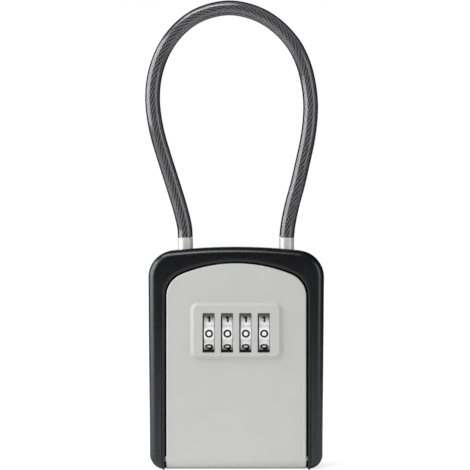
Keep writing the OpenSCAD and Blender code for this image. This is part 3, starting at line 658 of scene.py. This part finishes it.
class KEYSAFE_OT_cable(bpy.types.Operator):
    """Loop of wire rope in a smoky plastic coat"""

    bl_idname = "keysafe.cable"
    bl_label = "Cable"

    def execute(self, context):
        sizes = context.scene.key_safe_cable
        finishes = context.scene.key_safe_finishes
        y = (CABLE_LOW.y + CABLE_HIGH.y) / 2
        points = [Vector((x * MM, y, z * MM)) for x, z in CABLE_ROUTE]
        points[0].z = points[-1].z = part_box(FERRULES[0])[1].z
        route = smooth_route(points, steps=6)
        distances = [0.0]
        for a, b in zip(route, route[1:]):
            distances.append(distances[-1] + (b - a).length)
        coat = smooth(as_mesh(tube_curve("cable_coat", route, sizes.diameter / 2, resolution=6)))
        place(coat, self.coat_material(finishes), "cable_loop", "coated_wire_rope", "cable")
        strands = self.strands(sizes, route, distances)
        place(strands, self.strand_material(finishes), "cable_loop", "coated_wire_rope")
        core = self.core(sizes, route)
        # Painted shade: the core takes the coat's near-black, so the gaps between the strands look
        # shaded
        gap_shade = moulded_plastic("dark_core_gap_shade", finishes.coat, 0.6)
        place(core, gap_shade, "cable_loop", "coated_wire_rope")
        return {"FINISHED"}

    def strands(self, sizes, route, distances):
        """Outer strands laid to the right round a core."""
        back = Vector((0, 1, 0))
        last = len(route) - 1
        ways = [(route[min(i + 1, last)] - route[max(i - 1, 0)]).normalized() for i in range(last + 1)]
        bundle = bmesh.new()
        for number in range(sizes.strand_count):
            line = []
            for here, way, run in zip(route, ways, distances):
                turn = 2 * math.pi * (number / sizes.strand_count + run / sizes.lay_length)
                across = back.cross(way)
                outwards = math.cos(turn) * across + math.sin(turn) * back
                line.append(here + sizes.rope_radius * outwards)
            strand = as_mesh(tube_curve("strand", line, sizes.strand_radius, resolution=2))
            bundle.from_mesh(strand.data)
            bpy.data.objects.remove(strand)
        return smooth(mesh_object("cable_strands", bundle))

    def core(self, sizes, route):
        """Dark core that shows between the strands; its near-black paints shade into the gaps between
        them.
        """
        radius = sizes.rope_radius - sizes.strand_radius / 3
        return smooth(as_mesh(tube_curve("cable_core", route, radius, resolution=4)))

    def coat_material(self, finishes):
        """Half clear in the middle and dense at the rims, and most light passes through it."""
        finish = Finish("smoky_plastic", finishes.coat, 0.15)
        finish.inputs["Coat IOR"].default_value = 1.8
        finish.inputs["Coat Roughness"].default_value = 0.1
        finish.vary_roughness(finish.noise(6 * MM, 3), 0.12, 0.2)
        finish.raise_by(finish.noise(6 * MM, 2), 0.03 * MM, 0.12)
        rim = finish.nodes.new("ShaderNodeLayerWeight")
        rim.inputs["Blend"].default_value = 0.35
        sheen = finish.range(rim.outputs["Facing"], 1.0, 0.12, 0.3, 0.46)
        for socket in ("Coat Weight", "Specular IOR Level"):
            finish.links.new(sheen, finish.inputs[socket])
        dense = finish.range(rim.outputs["Facing"], 0.6, 1.0, 0.22, 0.36)
        rays = finish.nodes.new("ShaderNodeLightPath").outputs
        lit = finish.range(rays["Is Shadow Ray"], 1.0, 0.2, 0, 1)
        finish.links.new(math_node(finish.tree, "MULTIPLY", dense, lit), finish.inputs["Alpha"])
        return finish.material

    def strand_material(self, finishes):
        return Finish("galvanised_wire", finishes.strand, 0.5, metallic=0.3).texture(
            (2.5 * MM, 3, 0.85, 1.15), (1 * MM, 2, 0.42, 0.58), (0.35 * MM, 2, 0.02 * MM, 0.4)
        )


class KEYSAFE_OT_ferrules(bpy.types.Operator):
    """Bright nickel-plated ferrules on the ends of the cable"""

    bl_idname = "keysafe.ferrules"
    bl_label = "Ferrules"

    def execute(self, context):
        finishes = context.scene.key_safe_finishes
        nickel = polished_metal("bright_nickel", finishes.nickel, 0.32, 0.35, (1400, 1400, 25),
                                0.03 * MM, tint=(0.25, 0.25, 0.25))
        for name in FERRULES:
            dress(NODES[name], nickel)
        return {"FINISHED"}


class KEYSAFE_OT_body_shell(bpy.types.Operator):
    """Black die-cast shell with its arched opening"""

    bl_idname = "keysafe.body_shell"
    bl_label = "Body shell"

    def execute(self, context):
        sizes = context.scene.key_safe_body
        front = context.scene.key_safe_front
        finishes = context.scene.key_safe_finishes
        arch = (SHELL_HIGH.x, SHELL_HIGH.z, sizes.arch_radius, sizes.corner_radius)
        opening = (FRONT_HIGH.x, front.top, front.arch_radius, front.corner_radius)
        shell = mesh_object("body_shell", self.outside(sizes, arch))
        for cutter in (
            self.hollow(sizes, arch),
            self.opening(sizes, opening),
            self.opening_lip(sizes, opening),
            self.ferrule_holes(sizes),
            self.button_hole(sizes),
        ):
            combine(shell, cutter, "DIFFERENCE")
        smooth(shell)
        coating = coated_metal("satin_black_coating", finishes.body, 0.27, 0.9, tint=(0.9, 0.92, 1))
        place(shell, coating, "body", "body_black", "outer_shell")
        return {"FINISHED"}

    def outside(self, sizes, arch):
        depth = SHELL_HIGH.y - SHELL_LOW.y
        bm = arched_block(SHELL_LOW.y, depth, arch, 0, SHELL_LOW.z, sizes.foot_radius)
        round_edges(bm, rim_edges(bm, SHELL_LOW.y), sizes.edge_radius, segments=8)
        round_edges(bm, rim_edges(bm, SHELL_HIGH.y), sizes.back_radius, segments=3)
        self.lean(bm, sizes)
        return bm

    def hollow(self, sizes, arch):
        """The room inside, which is open to the back."""
        bm = arched_block(SHELL_LOW.y + sizes.face, SHELL_HIGH.y - SHELL_LOW.y, arch, -sizes.wall,
                          SHELL_LOW.z + sizes.wall, sizes.foot_radius - sizes.wall)
        self.lean(bm, sizes)
        return bm

    def lean(self, bm, sizes):
        """Lets the sides lean outwards from the foot up."""
        narrow = sizes.foot_width / 2 / SHELL_HIGH.x
        for vert in bm.verts:
            share = min(max(vert.co.z / sizes.taper_height, 0), 1)
            vert.co.x *= narrow + (1 - narrow) * share

    def opening(self, sizes, arch):
        """The arched opening, which goes through the foot and the back as well."""
        depth = SHELL_HIGH.y - SHELL_LOW.y + 2 * CUT_MARGIN
        return arched_block(SHELL_LOW.y - CUT_MARGIN, depth, arch, sizes.opening_gap,
                            SHELL_LOW.z - CUT_MARGIN)

    def opening_lip(self, sizes, arch):
        """Chamfer round the opening, wide in front of the shell and narrow behind its face."""
        lip = sizes.lip
        bm = arched_block(SHELL_LOW.y - lip, 2 * lip, arch, sizes.opening_gap + 2 * lip,
                          SHELL_LOW.z - CUT_MARGIN)
        narrow = [v for v in bm.verts if v.co.y > SHELL_LOW.y]
        bmesh.ops.scale(bm, vec=(1 - 2 * lip / SHELL_HIGH.x, 1, 1), verts=narrow)
        bmesh.ops.translate(bm, vec=(0, 0, -2 * lip), verts=narrow)
        return bm

    def ferrule_holes(self, sizes):
        bm = bmesh.new()
        for name in FERRULES:
            low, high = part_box(name)
            middle = ((low.x + high.x) / 2, (low.y + high.y) / 2, SHELL_HIGH.z)
            rod(bm, (high.x - low.x) / 2 + sizes.ferrule_gap, middle, (0, 0, HOLE_REACH), segments=48)
        return bm

    def button_hole(self, sizes):
        middle = (BUTTON_LOW + BUTTON_HIGH) / 2
        middle.x = SHELL_HIGH.x
        radius = (BUTTON_HIGH.y - BUTTON_LOW.y) / 2 + sizes.button_gap
        return rod(bmesh.new(), radius, middle, (HOLE_REACH, 0, 0), segments=64)


def plate_front(sizes):
    """Depth of the plate's front face, which lies behind the pad's."""
    return FRONT_LOW.y + sizes.pad_depth


def hinge_middle(sizes):
    """Middle of the round foot, which the hinge pin goes through."""
    return Vector((0, plate_front(sizes) + sizes.barrel_radius, FRONT_LOW.z + sizes.barrel_radius))


def window_middles(sizes):
    """Where the windows' middles lie, from left to right."""
    return [(low.x + high.x) / 2 - sizes.window_shift for low, high in DIAL_BOXES]


class KEYSAFE_OT_front(bpy.types.Operator):
    """Grey front with its raised pad, four windows and a round foot"""

    bl_idname = "keysafe.front"
    bl_label = "Front"

    def execute(self, context):
        sizes = context.scene.key_safe_front
        finishes = context.scene.key_safe_finishes
        arch = (FRONT_HIGH.x, sizes.top, sizes.arch_radius, sizes.corner_radius)
        front = mesh_object("front_cover", self.plate(sizes, arch))
        combine(front, self.rim_hollow(sizes, arch), "DIFFERENCE")
        for make, operation in (
            (self.barrel, "UNION"),
            (self.pad, "UNION"),
            (self.windows, "DIFFERENCE"),
            (self.window_lips, "DIFFERENCE"),
            (self.bosses, "UNION"),
            (self.boss_holes, "DIFFERENCE"),
            (self.pin_hole, "DIFFERENCE"),
        ):
            combine(front, make(sizes), operation)
        smooth(front)
        coating = coated_metal("satin_grey_coating", finishes.front, 0.42)
        place(front, coating, "door", "front_grey", "door_panel")
        # Painted shade: dark grey bars darken the top of each window
        painted_shade_bar_plastic = moulded_plastic("grey_painted_shade_bars", finishes.bar, 0.25)
        place(self.painted_shade_bars(sizes), painted_shade_bar_plastic, "door", "lock_plastic")
        # Painted shade: black sills in the numbers' paint darken the foot of each window
        painted_shade_sill_plastic = moulded_plastic("black_painted_shade_sills", finishes.number, 0.3)
        place(self.painted_shade_sills(sizes), painted_shade_sill_plastic, "door", "lock_plastic")
        return {"FINISHED"}

    def plate(self, sizes, arch):
        y, foot = plate_front(sizes), hinge_middle(sizes).z
        bm = arched_block(y, sizes.plate + sizes.rim_depth, arch, 0, foot)
        edges = [e for e in rim_edges(bm, y) if max(v.co.z for v in e.verts) > foot + NEAR]
        round_edges(bm, edges, sizes.edge_radius, segments=6)
        return bm

    def rim_hollow(self, sizes, arch):
        """The room behind the plate, inside its rim."""
        return arched_block(plate_front(sizes) + sizes.plate, sizes.rim_depth + CUT_MARGIN, arch,
                            -sizes.rim, hinge_middle(sizes).z - CUT_MARGIN)

    def barrel(self, sizes):
        """The round foot, with rounded ends."""
        half = (FRONT_HIGH.x, 0, 0)
        bm = rod(bmesh.new(), sizes.barrel_radius, hinge_middle(sizes), half, segments=96)
        round_edges(bm, level_edges(bm, 0), sizes.barrel_edge, segments=3)
        return bm

    def pin_hole(self, sizes):
        half = (FRONT_HIGH.x + CUT_MARGIN, 0, 0)
        return rod(bmesh.new(), sizes.pin_radius, hinge_middle(sizes), half, segments=48)

    def pad(self, sizes):
        """Raised pad with sloped edges and round corners."""
        bm = bmesh.new()
        front_y, plate_y = FRONT_LOW.y, plate_front(sizes)
        across, up = sizes.pad_width / 2, sizes.pad_height / 2
        z = sizes.window_z + sizes.pad_rise
        slab(bm, (-across, front_y, z - up), (across, plate_y + OVERLAP, z + up))
        round_edges(bm, level_edges(bm, 0, 2), sizes.pad_corner, segments=10)
        face = min(bm.faces, key=lambda f: f.calc_center_median().y)
        bmesh.ops.inset_region(bm, faces=[face], thickness=sizes.pad_slope, depth=0,
                               use_even_offset=True)
        for vert in bm.verts:
            if abs(vert.co.y - front_y) < NEAR and vert not in face.verts:
                vert.co.y = plate_y
        edges = [e for e in bm.edges if all(v in face.verts for v in e.verts)]
        round_edges(bm, edges, sizes.pad_edge, segments=4)
        bmesh.ops.recalc_face_normals(bm, faces=list(bm.faces))
        return bm

    def windows(self, sizes):
        """Four windows through the pad and the plate."""
        bm = bmesh.new()
        across, up, z = sizes.window_width / 2, sizes.window_length / 2, sizes.window_z
        start, end = FRONT_LOW.y - CUT_MARGIN, plate_front(sizes) + sizes.plate + CUT_MARGIN
        for x in window_middles(sizes):
            slab(bm, (x - across, start, z - up), (x + across, end, z + up))
        return bm

    def window_lips(self, sizes):
        """Chamfers round the windows."""
        bm = bmesh.new()
        across, up, z = sizes.window_width / 2, sizes.window_length / 2, sizes.window_z
        y, lip = FRONT_LOW.y, sizes.window_lip
        for x in window_middles(sizes):
            made = slab(bm, (x - across - 2 * lip, y - lip, z - up - 2 * lip),
                        (x + across + 2 * lip, y + lip, z + up + 2 * lip))
            for vert in made:
                if vert.co.y > y:
                    vert.co.x = x + math.copysign(across, vert.co.x - x)
                    vert.co.z = z + math.copysign(up, vert.co.z - z)
        return bm

    def bosses(self, sizes):
        """Four round bosses on the back, which carry the lock."""
        back = plate_front(sizes) + sizes.plate
        return self.screw_rods(sizes, sizes.boss_radius, back - OVERLAP, back + sizes.boss_height)

    def boss_holes(self, sizes):
        start = plate_front(sizes) + sizes.screw_floor
        end = plate_front(sizes) + sizes.plate + CUT_MARGIN
        return self.screw_rods(sizes, sizes.screw_hole / 2, start, end)

    def screw_rods(self, sizes, radius, start, end):
        """Four rods in the places of the lock's screws."""
        bm = bmesh.new()
        head = Vector((sizes.screw_head / 2, 0, sizes.screw_head / 2))
        low, high = SCREWS_LOW + head, SCREWS_HIGH - head
        for x in (low.x, high.x):
            for z in (low.z, high.z):
                rod(bm, radius, (x, (start + end) / 2, z), (0, (end - start) / 2, 0), segments=32)
        return bm

    def painted_shade_bars(self, sizes):
        """A round dark grey bar over each dial, along the top of its window, which paints shade there.
        """
        bm = bmesh.new()
        across = sizes.window_width / 2 + sizes.bar_seat
        y = FRONT_LOW.y + sizes.bar_depth
        z = sizes.window_z + sizes.window_length / 2 - sizes.bar_radius
        for x in window_middles(sizes):
            rod(bm, sizes.bar_radius, (x, y, z), (across, 0, 0), segments=32)
        return smooth(mesh_object("painted_shade_bars", bm))

    def painted_shade_sills(self, sizes):
        """A black sill under each dial, along the foot of its window, which paints the shade there."""
        bm = bmesh.new()
        across, deep = sizes.window_width / 2 + sizes.bar_seat, sizes.sill_depth / 2
        y = FRONT_LOW.y + sizes.bar_depth
        z = sizes.window_z - sizes.window_length / 2
        for x in window_middles(sizes):
            made = slab(bm, (x - across, y - deep, z - sizes.bar_seat),
                        (x + across, y + deep, z + sizes.sill_height))
            edges = [e for e in bm.edges if e.verts[0] in made]
            round_edges(bm, edges, sizes.sill_edge, segments=3)
        return smooth(mesh_object("painted_shade_sills", bm))


class KEYSAFE_OT_dials(bpy.types.Operator):
    """Four white dials with black numbers from 0 to 9"""

    bl_idname = "keysafe.dials"
    bl_label = "Dials"

    def execute(self, context):
        sizes = context.scene.key_safe_dial
        finishes = context.scene.key_safe_finishes
        white = self.white(finishes)
        black = self.paint(finishes)
        core = moulded_plastic("black_dial_sides_shade", finishes.number, 0.5)
        for number, (low, high) in enumerate(DIAL_BOXES, 1):
            node = f"dial_{number}"
            wheel = self.wheel(sizes, low, high, f"dial_wheel_{number}")
            place(wheel, white, node, "dial_white", node)
            # Painted shade: faces that point sideways get black plastic, which darkens the gap beside
            # each dial
            wheel.data.materials.append(core)
            for face in wheel.data.polygons:
                face.material_index = int(abs(face.normal.x) > 0.9)
            digits = self.digits(sizes, low, high, f"dial_numbers_{number}")
            place(digits, black, node, "dial_white")
        return {"FINISHED"}

    def wheel(self, sizes, low, high, name):
        """Wheel with a round-bottomed groove halfway between each two numbers."""
        middle = (low + high) / 2
        radius = (high.y - low.y) / 2
        bm = bmesh.new()
        turn = Matrix.Rotation(math.pi / 2, 4, "Y")
        bmesh.ops.create_circle(bm, cap_ends=True, segments=360, radius=radius,
                                matrix=Matrix.Translation((low.x, middle.y, middle.z)) @ turn)
        for vert in bm.verts:
            away = Vector((0, vert.co.y - middle.y, vert.co.z - middle.z))
            angle = math.atan2(away.z, -away.y)
            off = abs((angle / NUMBER_STEP) % 1 - 0.5) * NUMBER_STEP * radius
            share = min(off / sizes.groove_width, 1)
            dip = sizes.groove_depth * (1 - share**4) ** 0.5
            vert.co = Vector((vert.co.x, middle.y, middle.z)) + away * (1 - dip / radius)
        pull(bm, bm.faces[:][0], (high.x - low.x, 0, 0))
        round_edges(bm, level_edges(bm, 0), sizes.edge_radius, segments=2)
        made = mesh_object(name, bm)
        half = ((high.x - low.x) / 2 + CUT_MARGIN, 0, 0)
        combine(made, rod(bmesh.new(), sizes.bore_radius, middle, half, segments=96), "DIFFERENCE")
        return smooth(made, math.radians(28))

    def digits(self, sizes, low, high, name):
        """Ten numbers, each bent round its own face of the dial."""
        middle = (low + high) / 2
        radius = (high.y - low.y) / 2
        wide = sizes.number_width - sizes.stroke
        tall = sizes.number_height - sizes.stroke
        joined = bmesh.new()
        for value, strokes in enumerate(NUMBERS):
            for stroke in strokes:
                line = fine([Vector((x * wide, y * tall, 0)) for x, y in stroke], BEND_STEP)
                part = as_mesh(tube_curve("stroke", line, sizes.stroke / 2, resolution=3))
                for vert in part.data.vertices:
                    height = radius + vert.co.z * 2 * sizes.number_relief / sizes.stroke
                    angle = vert.co.y / radius + NUMBER_STEP * value
                    vert.co = Vector((
                        middle.x + vert.co.x,
                        middle.y - height * math.cos(angle),
                        middle.z + height * math.sin(angle),
                    ))
                joined.from_mesh(part.data)
                bpy.data.objects.remove(part)
        bmesh.ops.recalc_face_normals(joined, faces=list(joined.faces))
        return smooth(mesh_object(name, joined))

    def white(self, finishes):
        return Finish("white_dial_plastic", finishes.dial, 0.3).texture(
            (4 * MM, 3, 0.97, 1.02), (1.2 * MM, 3, 0.26, 0.38), (0.25 * MM, 2, 0.01 * MM, 0.4)
        )

    def paint(self, finishes):
        finish = Finish("black_number_paint", finishes.number, 0.4)
        finish.vary_colour(finish.noise(0.8 * MM, 3), 0.8, 1.3)
        finish.raise_by(finish.noise(0.15 * MM, 2), 0.01 * MM, 0.4)
        return finish.material


class KEYSAFE_OT_springs(bpy.types.Operator):
    """Coil springs with closed end turns, in the places of the lock's springs"""

    bl_idname = "keysafe.springs"
    bl_label = "Springs"

    def execute(self, context):
        sizes = context.scene.key_safe_springs
        finishes = context.scene.key_safe_finishes
        wire = polished_metal("spring_wire_steel", finishes.wire, 0.3, 0.6, (600, 600, 600), 0.01 * MM)
        # Node, body, axis, the end that stands still, joint, travel, turns
        for node, body, way, still, joint, travel, turns in (
            ("latch_spring_left", "door", 2, 0, "button_push", sizes.latch_travel, sizes.latch_turns),
            ("latch_spring_right", "door", 2, 0, "button_push", sizes.latch_travel, sizes.latch_turns),
            ("shaft_spring", "door", 0, 1, "shaft_shift", sizes.shaft_travel, sizes.shaft_turns),
            ("lock_bar_spring", "body", 0, 0, "lock_bar_slide", sizes.bar_travel, sizes.bar_turns),
        ):
            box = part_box(node)
            coil = self.coil(f"coil_{node}", box, way, turns, sizes.wire_radius)
            place(coil, wire, body, "spring_wire", node)
            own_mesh(coil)
        for name in ("detent_spring", "shaft_clips"):
            dress(NODES[name], wire)
        return {"FINISHED"}

    def coil(self, name, box, way, turns, wire_radius):
        """Spring with one closed turn at each end."""
        low, high = box
        middle = (low + high) / 2
        radius = (high.y - low.y) / 2 - wire_radius
        start, end = low[way] + wire_radius, high[way] - wire_radius
        closed = 2 * wire_radius
        open_rise = (end - start - 2 * closed) / (turns - 2)
        line = []
        for i in range(turns * COIL_STEPS + 1):
            turn = i / COIL_STEPS
            inner = min(max(turn - 1, 0), turns - 2)
            along = start + closed * (turn - inner) + open_rise * inner
            across = radius * math.cos(2 * math.pi * turn)
            up = radius * math.sin(2 * math.pi * turn)
            line.append(Vector((middle.x + across, middle.y + up, along) if way == 2
                               else (along, middle.y + across, middle.z + up)))
        return smooth(as_mesh(tube_curve(name, line, wire_radius, resolution=2)))


class KEYSAFE_OT_inner_parts(bpy.types.Operator):
    """Finishes of the case, the lock and the fasteners"""

    bl_idname = "keysafe.inner_parts"
    bl_label = "Inner parts"

    def execute(self, context):
        finishes = context.scene.key_safe_finishes
        plastic = moulded_plastic("black_moulded_plastic", finishes.case, 0.5)
        lock_plastic = moulded_plastic("lock_frame_plastic", finishes.lock, 0.45)
        lever = moulded_plastic("orange_lever_plastic", finishes.lever, 0.38)
        zinc = polished_metal("zinc_plated_steel", finishes.zinc, 0.36, 0.5, (300, 300, 300), 0.02 * MM)
        pin = polished_metal("bright_drawn_steel", finishes.steel, 0.25, 0.6, (30, 900, 900), 0.01 * MM)
        brass = polished_metal("turned_brass", finishes.brass, 0.28, 0.7, (1500, 150, 150), 0.015 * MM)
        for material, names in (
            (plastic, ("body_case", "release_button")),
            (lock_plastic, ("lock_frame", "lock_cover")),
            (zinc, ("shell_screws", "cover_screws", "cable_lock_bar", "latch_slide", "button_clip")),
            (pin, ("hinge_pin", "dial_shaft")),
            (brass, ("tumbler_1", "tumbler_2", "tumbler_3", "tumbler_4")),
            (lever, ("reset_lever",)),
        ):
            for name in names:
                dress(NODES[name], material)
        return {"FINISHED"}


class KEYSAFE_PT_panel(bpy.types.Panel):
    """Buttons for the pieces of the key safe"""

    bl_idname = "KEYSAFE_PT_panel"
    bl_label = "Key Safe"
    bl_space_type = "VIEW_3D"
    bl_region_type = "UI"
    bl_category = "Key Safe"

    def draw(self, context):
        for operator in OPERATORS:
            self.layout.operator(operator.bl_idname)


GROUPS = {
    "key_safe_body": BodySizes,
    "key_safe_front": FrontSizes,
    "key_safe_dial": DialSizes,
    "key_safe_cable": CableSizes,
    "key_safe_springs": SpringSizes,
    "key_safe_finishes": Finishes,
    "key_safe_stage": StageSettings,
}
OPERATORS = (
    KEYSAFE_OT_stage,
    KEYSAFE_OT_cable,
    KEYSAFE_OT_ferrules,
    KEYSAFE_OT_body_shell,
    KEYSAFE_OT_front,
    KEYSAFE_OT_dials,
    KEYSAFE_OT_springs,
    KEYSAFE_OT_inner_parts,
)
CLASSES = (*GROUPS.values(), *OPERATORS, KEYSAFE_PT_panel)


def register():
    for registered in CLASSES:
        bpy.utils.register_class(registered)
    for name, group in GROUPS.items():
        setattr(bpy.types.Scene, name, PointerProperty(type=group))


def unregister():
    for name in GROUPS:
        delattr(bpy.types.Scene, name)
    for registered in reversed(CLASSES):
        bpy.utils.unregister_class(registered)


def main():
    register()
    bpy.ops.keysafe.stage()
    bpy.ops.keysafe.cable()
    bpy.ops.keysafe.ferrules()
    bpy.ops.keysafe.body_shell()
    bpy.ops.keysafe.front()
    bpy.ops.keysafe.dials()
    bpy.ops.keysafe.springs()
    bpy.ops.keysafe.inner_parts()


if __name__ == "__main__":
    main()
